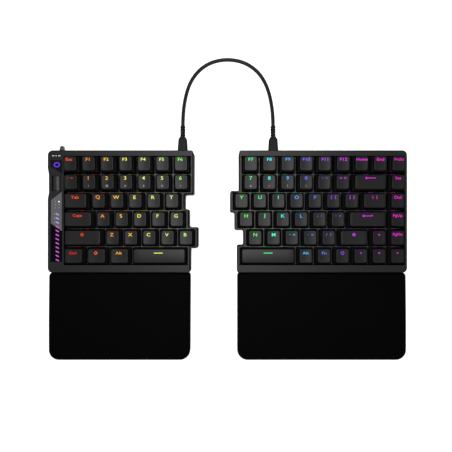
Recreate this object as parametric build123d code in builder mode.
from build123d import *
from math import cos, pi, radians, sin, sqrt, tan
import os

os.makedirs("parts", exist_ok=True)

# Ergonomic split keyboard in two halves, with wrist rests and a bridge cable.
# Millimetres. The origin is on the desk under the middle of the keyboard,
# +X to the right hand, +Y away from the user, +Z up.
# Most pieces are placed on the deck: the tilted plane of the switch plates.
# On the deck, u runs along X, v up the slope and n off the deck.

# Deck
deck_tilt = 3.5
deck_height = 13.63
deck = Plane(
    origin=(0, 0, deck_height),
    x_dir=(1, 0, 0),
    z_dir=(0, -sin(radians(deck_tilt)), cos(radians(deck_tilt))),
)
deck_normal = Axis(deck.origin, deck.z_dir)

# Key grid
key_pitch = 19.05
key_gap = 0.95
bottom_row_v = -2.1
left_grid_u = -171.7
right_grid_u = 14.6
key_travel = 3.5
row_names = ("function", "number", "upper", "home", "lower", "bottom")

# Widths of the keys in each row, back to front, as shares of the key pitch,
# and how far each row of the right half starts from its grid's edge.
left_width_shares = (
    (1, 1, 1, 1, 1, 1, 1),
    (1, 1, 1, 1, 1, 1, 1),
    (1.5, 1, 1, 1, 1, 1),
    (1.75, 1, 1, 1, 1, 1),
    (2.25, 1, 1, 1, 1, 1),
    (1.25, 1.25, 1.25, 3.08),
)
right_width_shares = (
    (1, 1, 1, 1, 1, 1, 1, 1, 1),
    (1, 1, 1, 1, 1, 1, 2, 1),
    (1, 1, 1, 1, 1, 1, 1, 1.5, 1),
    (1, 1, 1, 1, 1, 1, 2.25, 1),
    (1, 1, 1, 1, 1, 1.75, 1, 1),
    (3.11, 1, 1, 1, 1, 1, 1),
)
left_start_shares = (0, 0, 0, 0, 0, 0)
right_start_shares = (0, 0, -0.5, -0.25, 0.25, -0.11)

# Case
case_half_width = 189
case_back_v = 108.9
case_front_v = -19.9
case_lift = 2
case_floor = 2.2
case_wall = 2.2
inner_margin = 2.2
step_margin = 1.6
opening_clearance = 0.3
plate_ledge = 0.5
outer_corner_radius = 5
step_corner_radius = 1.9
bottom_chamfer = 1
frame_top_n = 8.6
frame_roof = 2.2
frame_chamfer = 0.6
clearance = 0.1
running_clearance = 0.3
overrun = 1

# Plate and circuit board
plate_thickness = 1.5
plate_clearance = 0.2
board_thickness = 1.6
board_drop = 5
board_clearance = 0.6

# Switches
switch_body_width = 13.8
switch_hole_width = 14
switch_flange_width = 15.6
switch_flange_height = 0.9
switch_top_n = 6.3
switch_shoulder_width = 14.2
switch_crown_width = 11.2
slider_width = 7
slider_depth = 5.2
slider_bottom_n = 1.5
slider_top_n = 10
slider_well_floor = 0.8
cross_length = 4
cross_breadth = 1.2
cross_height = 1.9
cross_clearance = 0.06

# Keycaps
skirt_n = 6.1
cap_wall = 1.3
cap_base_radius = 1.2
cap_top_radius = 2.2
cap_side_run = 2.4
cap_top_depth = 15
cap_dish_depth = 0.5
cap_crown_height = 0.6
cap_boss_diameter = 5.6
bar_side_run = 1.9
# Height off the deck, tilt and backward shift of each row's cap tops
cap_top_n = (17.2, 15.7, 14.8, 14.4, 14.2, 14.2)
cap_top_tilt = (5, 4, 2, 0, -1, -1)
cap_top_shift = (0.4, 0.4, 0.3, 0.2, 0.1, 0.1)

# Stabilisers
stabiliser_width = 7.4
stabiliser_depth = 8
stabiliser_top_n = 5.2
stabiliser_wire_diameter = 1.5
stabiliser_wire_reach = 8.4
stabiliser_wire_n = 1.7
wide_key_share = 2
bar_key_share = 3
wide_post_spacing = 23.8
bar_post_spacing = 38

# Case screws
screw_diameter = 2
screw_head_diameter = 3.8
screw_head_height = 1.5
screw_bite = 6
screw_edge_inset = 3.4
screw_back_inset = 28
screw_front_inset = 12

# Feet under the case
rubber_foot_length = 26
rubber_foot_width = 7
rubber_foot_seat = 0.5
rubber_foot_inset = 22
rubber_foot_edge = 9
tilt_foot_width = 24
tilt_foot_length = 19
tilt_foot_thickness = 3.4
tilt_foot_rise = 0.5
tilt_foot_pin_diameter = 2.4
tilt_foot_pin_length = 2
tilt_foot_hinge_v = 97
tilt_foot_inset = 20
tilt_foot_pocket_roof = 1.4

# Strip beside the left grid: wheel, light bar and indicators
wheel_u = -179.6
wheel_v = 74
wheel_diameter = 9.4
wheel_length = 15.4
wheel_rise = 1.4
wheel_edge_radius = 0.6
wheel_grooves = 16
wheel_groove_depth = 0.35
wheel_groove_width = 0.8
hollow_depth = 1.15
hollow_length = 20
hollow_run = 6
axle_diameter = 2.4
bracket_thickness = 1.6
bracket_length = 7
lens_thickness = 1.2
lens_ledge = 1
strip_gap = 3.1
strip_inner_wall = 1.6
light_bar_front_v = -8.6
light_bar_left_back_v = 56.6
light_bar_right_back_v = 66
indicator_v = 103.2
indicator_width = 10.4
indicator_depth = 2.4
emblem_back_v = 98.6
emblem_left_front_v = 91.8
emblem_right_front_v = 83.8

# Mode lever at the back
lever_u = -175.4
lever_n = 3.4
lever_tip_y = 113.5
lever_travel = 5
lever_neck = 2.6
lever_tip_width = 3
lever_root_width = 5.6
lever_height = 3.4
lever_plate_length = 8
lever_plate_height = 5
lever_plate_thickness = 1.2

# Ports, plugs and the bridge cable
port_z = 10
left_bridge_x = -49.1
right_bridge_x = 50.4
host_port_x = -122
port_width = 9.4
port_height = 3.9
port_wall = 0.35
port_depth = 8
plug_shell_width = 8.3
plug_shell_height = 2.5
plug_shell_wall = 0.3
plug_shell_length = 6.4
plug_face_y = 109.8
plug_shoulder_y = 124.5
plug_neck_y = 128
plug_width = 11
plug_back_width = 9.4
plug_height = 6.4
plug_corner_radius = 1.6
relief_diameter = 5.4
relief_end_y = 139.6
relief_ribs = 4
relief_groove_depth = 0.7
relief_groove_share = 0.4
cable_diameter = 4.1
cable_arc_share = 0.45
cable_end_y = 149.5
cable_z = cable_diameter / 2

# Battery in the left half
battery_length = 90
battery_width = 30
battery_thickness = 4.6
battery_u = -112
battery_v = 58

# Wrist rests
rest_half_width = 190.3
rest_back_y = -20.3
rest_front_y = -113.5
rest_left_inner_x = -39.6
rest_right_inner_x = 10.4
rest_base_height = 5
rest_front_radius = 11
rest_back_outer_radius = 4
rest_back_inner_radius = 3.7
rest_back_height = 17.4
rest_front_height = 12.6
rest_crown = 0.9
rest_edge_radius = 3.2
rest_lip = 0.4
rest_foot_diameter = 9
rest_foot_inset = 14
rest_foot_height = 1.6
rest_foot_seat = 0.6

# Derived sizes
key_width = key_pitch - key_gap
row_count = len(left_width_shares)
grid_back_v = bottom_row_v + key_pitch * (row_count - 0.5)
grid_front_v = bottom_row_v - key_pitch / 2
parting_n = -plate_thickness
board_top_n = -board_drop
floor_z = case_lift + case_floor
case_drop = case_back_v / 2
tilt_sin = sin(radians(deck_tilt))
tilt_cos = cos(radians(deck_tilt))


def row_v(row):
    """Centre of a row of keys along the slope, row 0 at the back."""
    return bottom_row_v + key_pitch * (row_count - 1 - row)


def deck_y(v, n):
    return v * tilt_cos - n * tilt_sin


def deck_n_at(v, z):
    """Height off the deck of the point over v that lies at height z."""
    return (z - deck_height - v * tilt_sin) / tilt_cos


# Each key: centre u, width share and row. The inner edge of each row
# is where its last key ends on the side that faces the other half.
halves = {}
for name, side, grid_u, width_shares, start_shares in (
    ("left", 1, left_grid_u, left_width_shares, left_start_shares),
    ("right", -1, right_grid_u, right_width_shares, right_start_shares),
):
    rows = []
    inner_edges = []
    for row in range(row_count):
        edge_u = grid_u + start_shares[row] * key_pitch
        keys = []
        for share in width_shares[row]:
            keys.append((edge_u + share * key_pitch / 2, share))
            edge_u += share * key_pitch
        rows.append(keys)
        start_u = grid_u + start_shares[row] * key_pitch
        inner_edges.append(edge_u if side > 0 else start_u)
        far_u = start_u if side > 0 else edge_u
    halves[name] = {
        "side": side,
        "rows": rows,
        "inner_edges": inner_edges,
        "grid_outer_u": far_u,
        "case_outer_u": -side * case_half_width,
    }


def half_sketch(half, outer_u, back_v, front_v, margin_u, margin_v, outer_radius, step_radius):
    """Outline of one half whose inner side steps with the rows of keys."""
    side = half["side"]
    edges = [edge + side * margin_u for edge in half["inner_edges"]]
    points = [(outer_u, front_v), (outer_u, back_v), (edges[0], back_v)]
    for row in range(1, row_count):
        step = side * (edges[row - 1] - edges[row])
        if step == 0:
            continue
        line_v = row_v(row) + key_pitch / 2
        step_v = line_v - margin_v if step > 0 else line_v + margin_v
        points += [(edges[row - 1], step_v), (edges[row], step_v)]
    points.append((edges[-1], front_v))
    with BuildSketch() as outline:
        with BuildLine():
            Polyline(*points, close=True)
        make_face()
        end = 0 if side > 0 else -1
        if step_radius:
            outer = outline.vertices().group_by(Axis.X)[end]
            fillet([corner for corner in outline.vertices() if corner not in outer], step_radius)
        if outer_radius:
            fillet(outline.vertices().group_by(Axis.X)[end], outer_radius)
    return outline.sketch


# Outlines on the deck that several pieces of a half share
for half in halves.values():
    side = half["side"]
    grid_outer_u = half["grid_outer_u"]
    half["outline"] = half_sketch(
        half, half["case_outer_u"], case_back_v, case_front_v, inner_margin, step_margin,
        outer_corner_radius, step_corner_radius,
    )
    if side > 0:
        # Shallow finger hollow in the outer wall beside the wheel
        hollow_u = half["case_outer_u"]
        hollow_back_v = wheel_v + hollow_length / 2
        hollow_front_v = wheel_v - hollow_length / 2
        with BuildSketch() as hollowed:
            add(half["outline"])
            with BuildLine():
                Polyline(
                    (hollow_u - overrun, hollow_back_v + hollow_run),
                    (hollow_u, hollow_back_v + hollow_run),
                    (hollow_u + hollow_depth, hollow_back_v),
                    (hollow_u + hollow_depth, hollow_front_v),
                    (hollow_u, hollow_front_v - hollow_run),
                    (hollow_u - overrun, hollow_front_v - hollow_run),
                    close=True,
                )
            make_face(mode=Mode.SUBTRACT)
        half["outline"] = hollowed.sketch
    half["opening"] = half_sketch(
        half, grid_outer_u - side * opening_clearance, grid_back_v + opening_clearance,
        grid_front_v - opening_clearance, opening_clearance, opening_clearance, 0, 0,
    )
    plate_margin = opening_clearance - plate_clearance
    half["plate"] = half_sketch(
        half, grid_outer_u - side * plate_margin, grid_back_v + plate_margin,
        grid_front_v - plate_margin, plate_margin, plate_margin, 0, 0,
    )
    strip_width = abs(half["case_outer_u"] - grid_outer_u) - case_wall
    half["well_outer_u"] = (
        half["case_outer_u"] + side * case_wall
        if strip_width > case_wall
        else grid_outer_u + side * plate_ledge
    )
    half["well"] = half_sketch(
        half, half["well_outer_u"], grid_back_v - plate_ledge, grid_front_v + plate_ledge,
        -plate_ledge, -plate_ledge, 0, 0,
    )
    board_margin = plate_ledge + board_clearance
    half["board"] = half_sketch(
        half, half["well_outer_u"] + side * board_clearance, grid_back_v - board_margin,
        grid_front_v + board_margin, -board_margin, -board_margin, 0, 0,
    )

# Places on the deck of the case screws: a row behind the keys and one before them
for half in halves.values():
    side = half["side"]
    back_u = (
        half["case_outer_u"] + side * screw_back_inset,
        half["inner_edges"][0] - side * screw_back_inset,
    )
    front_u = (
        half["case_outer_u"] + side * screw_front_inset,
        half["inner_edges"][-1] - side * screw_front_inset,
    )
    half["screws"] = [
        (ends[0] + (ends[1] - ends[0]) * step / 2, v)
        for ends, v in (
            (back_u, case_back_v - screw_edge_inset),
            (front_u, case_front_v + screw_edge_inset),
        )
        for step in range(3)
    ]

# Bottom cases
for name, half in halves.items():
    side = half["side"]
    with BuildPart() as well:
        with BuildSketch(deck.offset(parting_n + overrun)):
            add(half["well"])
        extrude(amount=-case_drop)
        split(bisect_by=Plane.XY.offset(floor_z), keep=Keep.TOP)

    # Pockets for the fold-out feet, near both back corners
    foot_u = [
        half["case_outer_u"] + side * (tilt_foot_inset + tilt_foot_width / 2),
        half["inner_edges"][0] - side * (tilt_foot_inset + tilt_foot_width / 2),
    ]
    hinge_y = deck_y(tilt_foot_hinge_v, 0)
    half["foot_places"] = [(u, hinge_y) for u in foot_u]
    pocket_top_z = case_lift + tilt_foot_rise + tilt_foot_thickness + running_clearance
    pocket_back_y = hinge_y + tilt_foot_thickness / 2 + running_clearance
    pocket_length = tilt_foot_length + tilt_foot_thickness / 2 + 2 * running_clearance
    pocket_width = tilt_foot_width + 2 * running_clearance
    pin_z = case_lift + tilt_foot_rise + tilt_foot_thickness / 2

    with BuildPart() as bottom_case:
        with BuildSketch(deck.offset(parting_n)):
            add(half["outline"])
        extrude(amount=-case_drop)
        split(bisect_by=Plane.XY.offset(case_lift), keep=Keep.TOP)
        chamfer(bottom_case.faces().sort_by(Axis.Z)[0].edges(), bottom_chamfer)
        add(well.part, mode=Mode.SUBTRACT)
        # Raised floor over each foot's pocket, thick enough for its hinge pins
        for u, y in half["foot_places"]:
            centre_y = pocket_back_y - pocket_length / 2
            block_width = pocket_width + 2 * (tilt_foot_pin_length + tilt_foot_pocket_roof)
            block_length = pocket_length + 2 * tilt_foot_pocket_roof
            with BuildSketch(Plane.XY.offset(case_lift + bottom_chamfer)):
                with Locations((u, centre_y)):
                    Rectangle(block_width, block_length)
            extrude(amount=pocket_top_z + tilt_foot_pocket_roof - case_lift - bottom_chamfer)
            with BuildSketch(Plane.XY.offset(case_lift)):
                with Locations((u, centre_y)):
                    Rectangle(pocket_width, pocket_length)
            extrude(amount=pocket_top_z - case_lift, mode=Mode.SUBTRACT)
            with BuildSketch(Plane.YZ.offset(u)):
                with Locations((y, pin_z)):
                    Circle(tilt_foot_pin_diameter / 2 + clearance)
            extrude(amount=pocket_width / 2 + tilt_foot_pin_length + clearance, both=True, mode=Mode.SUBTRACT)
            # Finger hollow at the free end of the foot
            with BuildSketch(Plane.XY.offset(case_lift)):
                with Locations((u, centre_y - pocket_length / 2)):
                    Circle(tilt_foot_thickness)
            extrude(amount=case_floor / 2, mode=Mode.SUBTRACT)
        # Shallow seats for the rubber feet
        half["rubber_places"] = [
            (half["case_outer_u"] + side * rubber_foot_inset, deck_y(case_front_v, 0) + rubber_foot_edge),
            (half["inner_edges"][-1] - side * rubber_foot_inset, deck_y(case_front_v, 0) + rubber_foot_edge),
            (
                (foot_u[0] + foot_u[1]) / 2,
                deck_y(case_back_v, 0) - rubber_foot_edge,
            ),
        ]
        with BuildSketch(Plane.XY.offset(case_lift)):
            with Locations(*half["rubber_places"]):
                SlotOverall(rubber_foot_length + clearance, rubber_foot_width + clearance)
        extrude(amount=rubber_foot_seat, mode=Mode.SUBTRACT)
        # Screw holes with sunk heads, along the normal of the deck
        for u, v in half["screws"]:
            head_n = deck_n_at(v, case_lift) + screw_head_height + bottom_chamfer
            with BuildSketch(deck.offset(parting_n + overrun)):
                with Locations((u, v)):
                    Circle(screw_diameter / 2 + clearance)
            extrude(amount=-case_drop, mode=Mode.SUBTRACT)
            with BuildSketch(deck.offset(head_n)):
                with Locations((u, v)):
                    Circle(screw_head_diameter / 2 + clearance)
            extrude(amount=-case_drop, mode=Mode.SUBTRACT)
        # Holes through the back wall for the ports
        half["ports"] = [left_bridge_x, host_port_x] if side > 0 else [right_bridge_x]
        with BuildSketch(Plane.XZ.offset(-plug_face_y)):
            with Locations(*[(x, port_z) for x in half["ports"]]):
                SlotOverall(port_width + 2 * clearance, port_height + 2 * clearance)
        extrude(amount=port_depth + case_wall, mode=Mode.SUBTRACT)
    bottom_case.part.label = f"{name}_bottom_case"
    export_step(bottom_case.part, f"parts/{name}_bottom_case.step")

# Rubber feet under the cases
for name, half in halves.items():
    with BuildPart() as rubber_feet:
        with BuildSketch():
            with Locations(*half["rubber_places"]):
                SlotOverall(rubber_foot_length, rubber_foot_width)
        extrude(amount=case_lift + rubber_foot_seat)
    rubber_feet.part.label = f"{name}_rubber_feet"
    export_step(rubber_feet.part, f"parts/{name}_rubber_feet.step")

# Fold-out feet, stowed in their pockets
for name, half in halves.items():
    for place, (u, y) in zip(("outer", "inner"), half["foot_places"]):
        foot_bottom_z = case_lift + tilt_foot_rise
        with BuildPart() as tilt_foot:
            with BuildSketch(Plane.YZ.offset(u)):
                with Locations((y - tilt_foot_length / 2, pin_z)):
                    Rectangle(tilt_foot_length, tilt_foot_thickness)
                with Locations((y, pin_z)):
                    Circle(tilt_foot_thickness / 2)
            extrude(amount=tilt_foot_width / 2, both=True)
            with BuildSketch(Plane.YZ.offset(u)):
                with Locations((y, pin_z)):
                    Circle(tilt_foot_pin_diameter / 2)
            extrude(amount=tilt_foot_width / 2 + tilt_foot_pin_length, both=True)
        tilt_foot.part.label = f"{name}_{place}_tilt_foot"
        export_step(tilt_foot.part, f"parts/{name}_{place}_tilt_foot.step")

# Case screws
for name, half in halves.items():
    with BuildPart() as case_screws:
        for u, v in half["screws"]:
            head_n = deck_n_at(v, case_lift) + screw_head_height + bottom_chamfer
            with BuildSketch(deck.offset(head_n)):
                with Locations((u, v)):
                    Circle(screw_head_diameter / 2)
            extrude(amount=-screw_head_height)
            with BuildSketch(deck.offset(head_n)):
                with Locations((u, v)):
                    Circle(screw_diameter / 2)
            extrude(amount=parting_n + screw_bite - head_n)
    case_screws.part.label = f"{name}_case_screws"
    export_step(case_screws.part, f"parts/{name}_case_screws.step")

# Outlines of the strip beside the left grid
strip_left_u = -case_half_width + strip_gap
strip_right_u = left_grid_u - opening_clearance - strip_inner_wall
light_bar_points = [
    (strip_left_u, light_bar_front_v),
    (strip_right_u, light_bar_front_v),
    (strip_right_u, light_bar_right_back_v),
    (strip_left_u, light_bar_left_back_v),
]
emblem_points = [
    (strip_left_u, emblem_left_front_v),
    (strip_right_u, emblem_right_front_v),
    (strip_right_u, emblem_back_v),
    (strip_left_u, emblem_back_v),
]
strip_centre_u = (strip_left_u + strip_right_u) / 2
with BuildSketch() as light_bar_outline:
    with BuildLine():
        Polyline(*light_bar_points, close=True)
    make_face()
with BuildSketch() as emblem_outline:
    with BuildLine():
        Polyline(*emblem_points, close=True)
    make_face()
with BuildSketch() as indicator_outline:
    with Locations((strip_centre_u, indicator_v)):
        Rectangle(indicator_width, indicator_depth)
wheel_n = frame_top_n + wheel_rise - wheel_diameter / 2
lens_bottom_n = frame_top_n - lens_thickness
bracket_outer = wheel_length / 2 + running_clearance + bracket_thickness
wheel_chord = 2 * sqrt((wheel_diameter / 2) ** 2 - (frame_top_n - frame_roof - wheel_n) ** 2)
wheel_slot_width = wheel_chord + 2 * running_clearance
wheel_slot_length = wheel_length + 2 * running_clearance

# Top frames round the keys
for name, half in halves.items():
    side = half["side"]
    with BuildPart() as top_frame:
        with BuildSketch(deck.offset(parting_n)):
            add(half["outline"])
        extrude(amount=frame_top_n - parting_n)
        chamfer(top_frame.faces().sort_by(deck_normal)[-1].edges(), frame_chamfer)
        with BuildSketch(deck.offset(parting_n)):
            add(half["opening"])
        extrude(amount=frame_top_n - parting_n + overrun, mode=Mode.SUBTRACT)
        if side > 0:
            # Hollow under the strip, open to the well of the bottom case
            strip_back_v = grid_back_v - plate_ledge
            strip_front_v = grid_front_v + plate_ledge
            with BuildSketch(deck.offset(parting_n)):
                with Locations((
                    (half["well_outer_u"] + strip_right_u) / 2,
                    (strip_back_v + strip_front_v) / 2,
                )):
                    Rectangle(strip_right_u - half["well_outer_u"], strip_back_v - strip_front_v)
            extrude(amount=frame_top_n - frame_roof - parting_n, mode=Mode.SUBTRACT)
            # Brackets that carry the wheel's axle
            for hand in (-1, 1):
                bracket_v = wheel_v + hand * (bracket_outer - bracket_thickness / 2)
                with BuildSketch(deck.offset(frame_top_n - frame_roof)):
                    with Locations((wheel_u, bracket_v)):
                        Rectangle(bracket_length, bracket_thickness)
                extrude(amount=wheel_n - bracket_length / 2 - frame_top_n + frame_roof)
            with BuildSketch(deck.offset(wheel_n)):
                with Locations((wheel_u, wheel_v)):
                    Rectangle(axle_diameter + 2 * clearance, 2 * bracket_outer)
            extrude(amount=axle_diameter / 2 + clearance, both=True, mode=Mode.SUBTRACT)
            # Slot for the wheel
            with BuildSketch(deck.offset(frame_top_n + overrun)):
                with Locations((wheel_u, wheel_v)):
                    RectangleRounded(wheel_slot_width, wheel_slot_length, wheel_edge_radius)
            extrude(amount=-frame_roof - overrun, mode=Mode.SUBTRACT)
            # Seats and windows for the lenses
            for window in (light_bar_outline, indicator_outline, emblem_outline):
                with BuildSketch(deck.offset(lens_bottom_n)):
                    add(window.sketch)
                extrude(amount=lens_thickness + overrun, mode=Mode.SUBTRACT)
            with BuildSketch(deck.offset(lens_bottom_n)):
                add(light_bar_outline.sketch)
                offset(amount=-lens_ledge)
            extrude(amount=-frame_roof, mode=Mode.SUBTRACT)
            # Slot in the back wall for the mode lever, and a recess for its plate
            back_plane = Plane(
                origin=deck.from_local_coords(Vector(lever_u, case_back_v, lever_n)),
                x_dir=(1, 0, 0),
                z_dir=-deck.y_dir,
            )
            with BuildSketch(back_plane):
                SlotOverall(
                    lever_neck + lever_travel + 2 * running_clearance,
                    lever_neck + 2 * running_clearance,
                )
            extrude(amount=case_wall + overrun, both=True, mode=Mode.SUBTRACT)
            with BuildSketch(back_plane.offset(case_wall)):
                Rectangle(
                    lever_plate_length + lever_travel + 2 * running_clearance,
                    lever_plate_height + 2 * running_clearance,
                )
            extrude(amount=lever_plate_thickness + 2 * running_clearance, mode=Mode.SUBTRACT)
        # Holes that the case screws bite into
        with BuildSketch(deck.offset(parting_n)):
            with Locations(*half["screws"]):
                Circle(screw_diameter / 2 + clearance)
        extrude(amount=screw_bite + clearance, mode=Mode.SUBTRACT)
    top_frame.part.label = f"{name}_top_frame"
    export_step(top_frame.part, f"parts/{name}_top_frame.step")

# Lenses of the strip
with BuildPart() as light_bar_lens:
    with BuildSketch(deck.offset(lens_bottom_n)):
        add(light_bar_outline.sketch)
        offset(amount=-clearance)
    extrude(amount=lens_thickness)
light_bar_lens.part.label = "light_bar_lens"
export_step(light_bar_lens.part, "parts/light_bar_lens.step")

with BuildPart() as indicator_lens:
    for window in (indicator_outline, emblem_outline):
        with BuildSketch(deck.offset(lens_bottom_n)):
            add(window.sketch)
            offset(amount=-clearance)
        extrude(amount=lens_thickness)
indicator_lens.part.label = "indicator_lens"
export_step(indicator_lens.part, "parts/indicator_lens.step")

# Control wheel: a roller along the strip on its axle, with grooves along its length
wheel_centre = deck.from_local_coords(Vector(wheel_u, wheel_v, wheel_n))
wheel_plane = Plane(origin=wheel_centre, x_dir=(1, 0, 0), z_dir=deck.y_dir)
with BuildPart() as control_wheel:
    with BuildSketch(wheel_plane):
        Circle(wheel_diameter / 2)
        Circle(axle_diameter / 2 + clearance, mode=Mode.SUBTRACT)
    extrude(amount=wheel_length / 2, both=True)
    rim_edges = control_wheel.edges().filter_by(GeomType.CIRCLE).group_by(SortBy.RADIUS)[-1]
    chamfer(rim_edges, wheel_edge_radius)
    with BuildSketch(wheel_plane):
        with PolarLocations(wheel_diameter / 2, wheel_grooves):
            Rectangle(2 * wheel_groove_depth, wheel_groove_width)
    extrude(amount=wheel_length / 2, both=True, mode=Mode.SUBTRACT)
control_wheel.part.label = "control_wheel"
export_step(control_wheel.part, "parts/control_wheel.step")

with BuildPart() as control_wheel_axle:
    with BuildSketch(wheel_plane):
        Circle(axle_diameter / 2)
    extrude(amount=bracket_outer, both=True)
control_wheel_axle.part.label = "control_wheel_axle"
export_step(control_wheel_axle.part, "parts/control_wheel_axle.step")

# Mode lever: a plate behind the wall, a neck through it and a tapered tip
lever_root = deck.from_local_coords(Vector(lever_u, case_back_v, lever_n))
lever_plane = Plane(origin=lever_root, x_dir=(-1, 0, 0), z_dir=deck.y_dir)
lever_reach = (lever_tip_y - lever_root.Y + lever_height / 2 * tilt_sin) / tilt_cos
with BuildPart() as mode_lever:
    with BuildSketch(lever_plane.offset(-case_wall - running_clearance)):
        Rectangle(lever_plate_length, lever_plate_height)
    extrude(amount=-lever_plate_thickness)
    with BuildSketch(lever_plane.offset(-case_wall - running_clearance)):
        Circle(lever_neck / 2)
    extrude(amount=case_wall + 2 * running_clearance)
    with BuildSketch(lever_plane.offset(running_clearance)):
        Rectangle(lever_root_width, lever_height)
    with BuildSketch(lever_plane.offset(lever_reach)):
        Rectangle(lever_tip_width, lever_height)
    loft()
mode_lever.part.label = "mode_lever"
export_step(mode_lever.part, "parts/mode_lever.step")

# Switch plates, holed for each switch and stabiliser
for name, half in halves.items():
    places = [
        (u, row_v(row)) for row, keys in enumerate(half["rows"]) for u, share in keys
    ]
    stabilised = []
    for row, keys in enumerate(half["rows"]):
        for u, share in keys:
            if share >= wide_key_share:
                spacing = bar_post_spacing if share >= bar_key_share else wide_post_spacing
                stabilised += [(u, row_v(row), spacing)]
    half["places"] = places
    half["stabilised"] = stabilised
    half["stabiliser_places"] = [
        (u + hand * spacing / 2, v) for u, v, spacing in stabilised for hand in (-1, 1)
    ]
    with BuildPart() as switch_plate:
        with BuildSketch(deck.offset(parting_n)):
            add(half["plate"])
            with Locations(*places):
                Rectangle(switch_hole_width, switch_hole_width, mode=Mode.SUBTRACT)
            with Locations(*half["stabiliser_places"]):
                Rectangle(
                    stabiliser_width + 2 * clearance, stabiliser_depth + 2 * clearance,
                    mode=Mode.SUBTRACT,
                )
        extrude(amount=plate_thickness)
    switch_plate.part.label = f"{name}_switch_plate"
    export_step(switch_plate.part, f"parts/{name}_switch_plate.step")

# Circuit boards: the left one also lies under the strip
for name, half in halves.items():
    with BuildPart() as circuit_board:
        with BuildSketch(deck.offset(board_top_n - board_thickness)):
            add(half["board"])
        extrude(amount=board_thickness)
    circuit_board.part.label = f"{name}_circuit_board"
    export_step(circuit_board.part, f"parts/{name}_circuit_board.step")

# One switch housing on the deck's own axes: body, flange, tapered top and slider well
with BuildPart() as switch_housing:
    with BuildSketch(Plane.XY.offset(board_top_n)):
        Rectangle(switch_body_width, switch_body_width)
    extrude(amount=board_drop)
    with BuildSketch():
        Rectangle(switch_flange_width, switch_flange_width)
    extrude(amount=switch_flange_height)
    with BuildSketch(Plane.XY.offset(switch_flange_height)):
        Rectangle(switch_shoulder_width, switch_shoulder_width)
    with BuildSketch(Plane.XY.offset(switch_top_n)):
        Rectangle(switch_crown_width, switch_crown_width)
    loft()
    with BuildSketch(Plane.XY.offset(switch_top_n + overrun)):
        Rectangle(slider_width + 2 * running_clearance, slider_depth + 2 * running_clearance)
    extrude(
        amount=slider_bottom_n - key_travel - slider_well_floor - switch_top_n - overrun,
        mode=Mode.SUBTRACT,
    )

for name, half in halves.items():
    with BuildPart() as switches:
        with Locations(*[deck * Location((u, v, 0)) for u, v in half["places"]]):
            add(switch_housing.part)
    switches.part.label = f"{name}_switches"
    export_step(switches.part, f"parts/{name}_switches.step")

# Stabilisers: two housings under each wide key, joined by a bent wire
for name, half in halves.items():
    with BuildPart() as stabilisers:
        for u, v, spacing in half["stabilised"]:
            with BuildSketch(deck.offset(board_top_n)):
                with Locations((u - spacing / 2, v), (u + spacing / 2, v)):
                    Rectangle(stabiliser_width, stabiliser_depth)
            extrude(amount=stabiliser_top_n - board_top_n)
            with BuildSketch(deck.offset(board_top_n + slider_well_floor)):
                with Locations((u - spacing / 2, v), (u + spacing / 2, v)):
                    Rectangle(
                        slider_depth + 2 * running_clearance,
                        slider_depth + 2 * running_clearance,
                    )
            extrude(amount=stabiliser_top_n - board_top_n, mode=Mode.SUBTRACT)
            # Wire in front of the switch, with its arms let into the housings
            arm_u = spacing / 2
            bar_v = v - stabiliser_wire_reach
            arm_v = v - stabiliser_depth / 2 + stabiliser_wire_diameter / 2
            route = [
                deck.from_local_coords(Vector(u - arm_u, arm_v, stabiliser_wire_n)),
                deck.from_local_coords(Vector(u - arm_u, bar_v, stabiliser_wire_n)),
                deck.from_local_coords(Vector(u + arm_u, bar_v, stabiliser_wire_n)),
                deck.from_local_coords(Vector(u + arm_u, arm_v, stabiliser_wire_n)),
            ]
            with BuildLine() as wire_line:
                FilletPolyline(*route, radius=stabiliser_wire_diameter)
            with BuildSketch(Plane(origin=route[0], z_dir=-deck.y_dir)):
                Circle(stabiliser_wire_diameter / 2)
            sweep(path=wire_line.line)
    stabilisers.part.label = f"{name}_stabilisers"
    export_step(stabilisers.part, f"parts/{name}_stabilisers.step")


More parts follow.
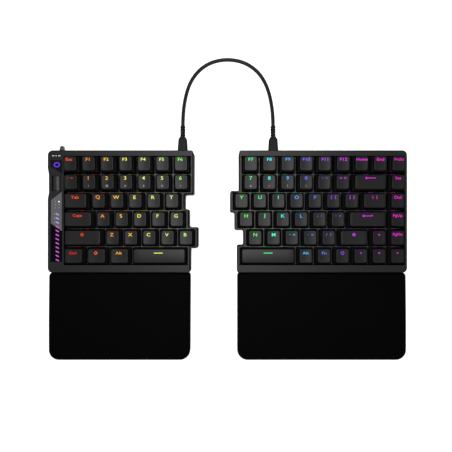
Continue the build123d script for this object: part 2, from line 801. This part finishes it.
def cap_and_stem(row, share):
    """A keycap and the slider under it, as two solids on the deck's own axes."""
    width = share * key_pitch - key_gap
    is_bar = share >= bar_key_share
    side_run = bar_side_run if is_bar else cap_side_run
    top_n = cap_top_n[row]
    shift = cap_top_shift[row]
    tilt = radians(cap_top_tilt[row])
    top_plane = Plane(origin=(0, shift, top_n), x_dir=(1, 0, 0), z_dir=(0, -sin(tilt), cos(tilt)))
    spacing = 0
    if share >= wide_key_share:
        spacing = bar_post_spacing if is_bar else wide_post_spacing
    posts = [(0, 0)] + ([(-spacing / 2, 0), (spacing / 2, 0)] if spacing else [])
    top_width = width - 2 * side_run
    with BuildPart() as cap:
        with BuildSketch(Plane.XY.offset(skirt_n)):
            RectangleRounded(width, key_width, cap_base_radius)
        with BuildSketch(top_plane):
            RectangleRounded(top_width, cap_top_depth, cap_top_radius)
        loft()
        if is_bar:
            # The bar's top is rounded along its front and back edges
            long_edges = cap.faces().sort_by(Axis.Z)[-1].edges().filter_by(GeomType.LINE)
            fillet(long_edges.filter_by(Axis.X), cap_crown_height)
        else:
            # A shallow cylindrical dish that runs front to back
            with BuildSketch(Plane(
                origin=top_plane.from_local_coords(Vector(0, key_width, 0)),
                x_dir=(1, 0, 0),
                z_dir=-top_plane.y_dir,
            )):
                with BuildLine():
                    chord = top_width / 2
                    ThreePointArc((-chord, 0), (0, -cap_dish_depth), (chord, 0))
                    Polyline((chord, 0), (chord, overrun), (-chord, overrun), (-chord, 0))
                make_face()
            extrude(amount=2 * key_width, mode=Mode.SUBTRACT)
        # Hollow underside
        ceiling_plane = top_plane.offset(-cap_wall - cap_dish_depth)
        with BuildSketch(Plane.XY.offset(skirt_n)):
            Rectangle(width - 2 * cap_wall, key_width - 2 * cap_wall)
        with BuildSketch(ceiling_plane):
            Rectangle(top_width - 2 * cap_wall, cap_top_depth - 2 * cap_wall)
        loft(mode=Mode.SUBTRACT)
        # Bosses with cross sockets
        with BuildSketch(Plane.XY.offset(slider_top_n + cross_clearance)):
            with Locations(*posts):
                Circle(cap_boss_diameter / 2)
        extrude(amount=top_n - cap_wall - cap_dish_depth - slider_top_n)
        with BuildSketch(Plane.XY.offset(slider_top_n)):
            with Locations(*posts):
                Rectangle(cross_length + 2 * cross_clearance, cross_breadth + 2 * cross_clearance)
                Rectangle(cross_breadth + 2 * cross_clearance, cross_length + 2 * cross_clearance)
        extrude(amount=cross_height + 2 * cross_clearance, mode=Mode.SUBTRACT)
    with BuildPart() as stem:
        with BuildSketch(Plane.XY.offset(slider_bottom_n)):
            Rectangle(slider_width, slider_depth)
            if spacing:
                with Locations(*posts[1:]):
                    Rectangle(slider_depth, slider_depth)
        extrude(amount=slider_top_n - slider_bottom_n)
        with BuildSketch(Plane.XY.offset(slider_top_n)):
            with Locations(*posts):
                Rectangle(cross_length, cross_breadth)
                Rectangle(cross_breadth, cross_length)
        extrude(amount=cross_height)
    return cap.part, stem.part


# Keys in groups that share a node: every row of a half, and the wide keys alone
key_nodes = {}
single_keys = {
    ("left", 2, 0): "tab_key",
    ("left", 3, 0): "caps_lock_key",
    ("left", 4, 0): "left_shift_key",
    ("left", 5, 3): "left_space_bar",
    ("right", 1, 6): "backspace_key",
    ("right", 3, 6): "enter_key",
    ("right", 4, 5): "right_shift_key",
    ("right", 5, 0): "right_space_bar",
}
for name, half in halves.items():
    for row, keys in enumerate(half["rows"]):
        for index, (u, share) in enumerate(keys):
            node = single_keys.get((name, row, index), f"{name}_{row_names[row]}_row_keys")
            key_nodes.setdefault(node, []).append((u, row, share))

key_shapes = {}
for node, keys in key_nodes.items():
    for u, row, share in keys:
        if (row, share) not in key_shapes:
            key_shapes[(row, share)] = cap_and_stem(row, share)
    with BuildPart() as key_group:
        for u, row, share in keys:
            cap_shape, stem_shape = key_shapes[(row, share)]
            with Locations(deck * Location((u, row_v(row), 0))):
                add(cap_shape)
                add(stem_shape)
    key_group.part.label = node
    export_step(key_group.part, f"parts/{node}.step")

# Battery on the floor of the left case
with BuildPart() as left_battery:
    with BuildSketch(Plane.XY.offset(floor_z)):
        with Locations((battery_u, battery_v)):
            RectangleRounded(battery_length, battery_width, battery_thickness / 2)
    extrude(amount=battery_thickness)
left_battery.part.label = "left_battery"
export_step(left_battery.part, "parts/left_battery.step")

# Ports: metal sleeves let into the back walls, open to the back
for name, half in halves.items():
    node = "left_usb_ports" if half["side"] > 0 else "right_bridge_port"
    port_mouth_y = deck_y(case_back_v, deck_n_at(case_back_v, port_z))
    with BuildPart() as ports:
        with BuildSketch(Plane.XZ.offset(-port_mouth_y)):
            with Locations(*[(x, port_z) for x in half["ports"]]):
                SlotOverall(port_width, port_height)
        extrude(amount=port_depth)
        with BuildSketch(Plane.XZ.offset(-port_mouth_y)):
            with Locations(*[(x, port_z) for x in half["ports"]]):
                SlotOverall(port_width - 2 * port_wall, port_height - 2 * port_wall)
        extrude(amount=port_depth - port_wall, mode=Mode.SUBTRACT)
    ports.part.label = node
    export_step(ports.part, f"parts/{node}.step")

# Plugs of the bridge cable: a metal shell, and a moulded body with a ribbed relief
relief_pitch = (relief_end_y - plug_neck_y) / relief_ribs
for name, plug_x in (("left", left_bridge_x), ("right", right_bridge_x)):
    with BuildPart() as plug_shell:
        with BuildSketch(Plane.XZ.offset(-plug_face_y)):
            with Locations((plug_x, port_z)):
                SlotOverall(plug_shell_width, plug_shell_height)
                SlotOverall(
                    plug_shell_width - 2 * plug_shell_wall,
                    plug_shell_height - 2 * plug_shell_wall,
                    mode=Mode.SUBTRACT,
                )
        extrude(amount=plug_shell_length)
    plug_shell.part.label = f"{name}_plug_shell"
    export_step(plug_shell.part, f"parts/{name}_plug_shell.step")

    with BuildPart() as plug:
        plug_sections = (
            (plug_face_y, plug_width, plug_height),
            (plug_shoulder_y, plug_back_width, plug_height),
            (plug_neck_y, relief_diameter, relief_diameter),
        )
        for (y_a, width_a, height_a), (y_b, width_b, height_b) in zip(
            plug_sections, plug_sections[1:]
        ):
            with BuildSketch(Plane.XZ.offset(-y_a)):
                with Locations((plug_x, port_z)):
                    RectangleRounded(width_a, height_a, plug_corner_radius)
            with BuildSketch(Plane.XZ.offset(-y_b)):
                with Locations((plug_x, port_z)):
                    RectangleRounded(width_b, height_b, plug_corner_radius)
            loft()
        # Relief: a sleeve with square grooves between its ribs
        with BuildSketch(Plane.XZ.offset(-plug_neck_y)):
            with Locations((plug_x, port_z)):
                Circle(relief_diameter / 2)
        extrude(amount=plug_neck_y - relief_end_y)
        for rib in range(relief_ribs):
            groove_y = plug_neck_y + rib * relief_pitch
            with BuildSketch(Plane.XZ.offset(-groove_y)):
                with Locations((plug_x, port_z)):
                    Circle(relief_diameter / 2)
                    Circle(relief_diameter / 2 - relief_groove_depth, mode=Mode.SUBTRACT)
            extrude(amount=-relief_groove_share * relief_pitch, mode=Mode.SUBTRACT)
    plug.part.label = f"{name}_plug"
    export_step(plug.part, f"parts/{name}_plug.step")

# Bridge cable: level out of the left plug, down to the desk, round in an arch
# behind the keyboard and back up to the right plug
cable_route = [
    (left_bridge_x, relief_end_y, port_z),
    (left_bridge_x, cable_end_y, port_z),
    (-48.4, 165.4, 5.7),
    (-46.2, 180.6, cable_z),
    (-41.9, 193.2, cable_z),
    (-33.6, 205.7, cable_z),
    (-21.6, 214.9, cable_z),
    (-7.2, 219.3, cable_z),
    (8.4, 219.2, cable_z),
    (22.9, 214.5, cable_z),
    (34.9, 205.2, cable_z),
    (43.0, 192.6, cable_z),
    (47.3, 180.2, cable_z),
    (49.6, 165.2, 5.7),
    (right_bridge_x, cable_end_y, port_z),
    (right_bridge_x, relief_end_y, port_z),
]
cable_points = [Vector(*point) for point in cable_route]
cable_radii = []
for before, here, after in zip(cable_points, cable_points[1:], cable_points[2:]):
    turn = (here - before).get_angle(after - here)
    shorter = min((here - before).length, (after - here).length)
    cable_radii.append(cable_arc_share * shorter / tan(radians(turn) / 2))
with BuildPart() as bridge_cable:
    with BuildLine() as cable_line:
        FilletPolyline(*cable_points, radius=cable_radii)
    with BuildSketch(Plane(origin=cable_points[0], z_dir=(0, 1, 0))):
        Circle(cable_diameter / 2)
    sweep(path=cable_line.line)
cable_length = cable_line.wire().length
cable_section = pi * cable_diameter**2 / 4
print("cable radii", [round(radius, 1) for radius in cable_radii])
print("cable length", round(cable_length, 2))
print("cable volume over section times length", bridge_cable.part.volume / (cable_section * cable_length))
bridge_cable.part.label = "bridge_cable"
export_step(bridge_cable.part, "parts/bridge_cable.step")

# Wrist rests: a hard base, a crowned pad on it and four feet
rest_tilt = (rest_back_height - rest_front_height) / (rest_back_y - rest_front_y)
for name, half in halves.items():
    side = half["side"]
    outer_x = -side * rest_half_width
    inner_x = rest_left_inner_x if side > 0 else rest_right_inner_x

    def rest_sketch(inset):
        with BuildSketch() as outline:
            with BuildLine():
                Polyline(
                    (outer_x + side * inset, rest_front_y + inset),
                    (outer_x + side * inset, rest_back_y - inset),
                    (inner_x - side * inset, rest_back_y - inset),
                    (inner_x - side * inset, rest_front_y + inset),
                    close=True,
                )
            make_face()
            outer, inner = (0, -1) if side > 0 else (-1, 0)
            fillet(outline.vertices().group_by(Axis.Y)[0], rest_front_radius - inset)
            back = outline.vertices().group_by(Axis.Y)[-1].sort_by(Axis.X)
            fillet(back[outer], rest_back_outer_radius - inset)
            back = outline.vertices().group_by(Axis.Y)[-1].sort_by(Axis.X)
            fillet(back[inner], rest_back_inner_radius - inset)
        return outline.sketch

    foot_places = [
        (x, y)
        for x in (outer_x + side * rest_foot_inset, inner_x - side * rest_foot_inset)
        for y in (rest_front_y + rest_foot_inset, rest_back_y - rest_foot_inset)
    ]
    with BuildPart() as wrist_rest_base:
        with BuildSketch(Plane.XY.offset(rest_foot_height - rest_foot_seat)):
            add(rest_sketch(rest_lip))
        extrude(amount=rest_base_height - rest_foot_height + rest_foot_seat)
        with BuildSketch(Plane.XY.offset(rest_foot_height - rest_foot_seat)):
            with Locations(*foot_places):
                Circle(rest_foot_diameter / 2 + clearance)
        extrude(amount=rest_foot_seat, mode=Mode.SUBTRACT)
    wrist_rest_base.part.label = f"{name}_wrist_rest_base"
    export_step(wrist_rest_base.part, f"parts/{name}_wrist_rest_base.step")

    with BuildPart() as wrist_rest_feet:
        with BuildSketch():
            with Locations(*foot_places):
                Circle(rest_foot_diameter / 2)
        extrude(amount=rest_foot_height)
    wrist_rest_feet.part.label = f"{name}_wrist_rest_feet"
    export_step(wrist_rest_feet.part, f"parts/{name}_wrist_rest_feet.step")

    with BuildPart() as wrist_rest_pad:
        with BuildSketch(Plane.XY.offset(rest_base_height)):
            add(rest_sketch(0))
        extrude(amount=rest_back_height)
        # The crown: an arc across the depth, along the whole width
        with BuildSketch(Plane.YZ.offset(-rest_half_width - overrun)):
            with BuildLine():
                crown_y = (rest_back_y + rest_front_y) / 2
                crown_z = (rest_back_height + rest_front_height) / 2 + rest_crown
                back = (rest_back_y + overrun, rest_back_height + overrun * rest_tilt)
                front = (rest_front_y - overrun, rest_front_height - overrun * rest_tilt)
                sky_z = rest_base_height + 2 * rest_back_height
                ThreePointArc(back, (crown_y, crown_z), front)
                Polyline(front, (front[0], sky_z), (back[0], sky_z), back)
            make_face()
        extrude(amount=2 * (rest_half_width + overrun), mode=Mode.SUBTRACT)
        top_face = wrist_rest_pad.faces().sort_by(Axis.Z)[-1]
        fillet(top_face.edges(), rest_edge_radius)
    wrist_rest_pad.part.label = f"{name}_wrist_rest_pad"
    export_step(wrist_rest_pad.part, f"parts/{name}_wrist_rest_pad.step")
